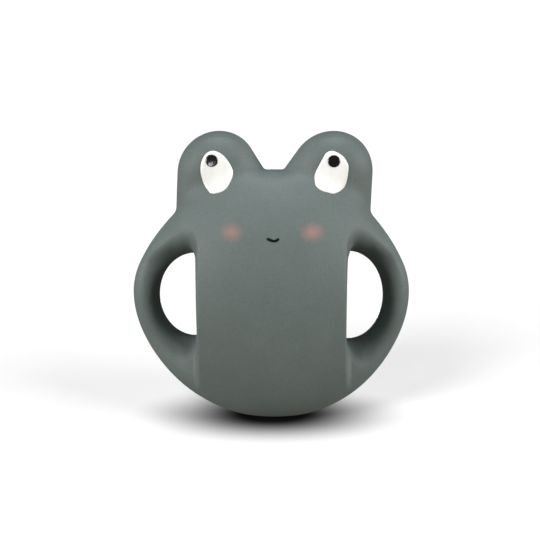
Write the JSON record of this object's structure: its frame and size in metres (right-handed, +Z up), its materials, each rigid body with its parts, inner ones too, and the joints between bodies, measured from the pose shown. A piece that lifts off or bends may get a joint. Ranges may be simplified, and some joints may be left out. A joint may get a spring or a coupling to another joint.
{
  "type": "teething toy",
  "caption": "Hollow rubber frog teether: ball body with ring arms as finger grips, round eye lobes, enamel eyes and a small smile, standing on a flat foot.",
  "frame": {"origin": "bottom centre of the toy, in the plane of its flat foot and on the parting plane of the mould", "axes": "+Z up, +Y from the face to the back, +X to the right of someone who looks at the face"},
  "size_m": [0.1048, 0.054, 0.1093],
  "materials": {
    "rubber": "matte grey-green natural rubber with an airbrushed pink blush on the cheeks",
    "white_enamel": "glossy white enamel",
    "black_enamel": "glossy black enamel"
  },
  "bodies": {
    "root": {"front_shell": "rubber", "back_shell": "rubber", "eye_white_left": "white_enamel", "eye_white_right": "white_enamel", "pupil_left": "black_enamel", "pupil_right": "black_enamel", "mouth": "black_enamel"}
  },
  "joints": []
}
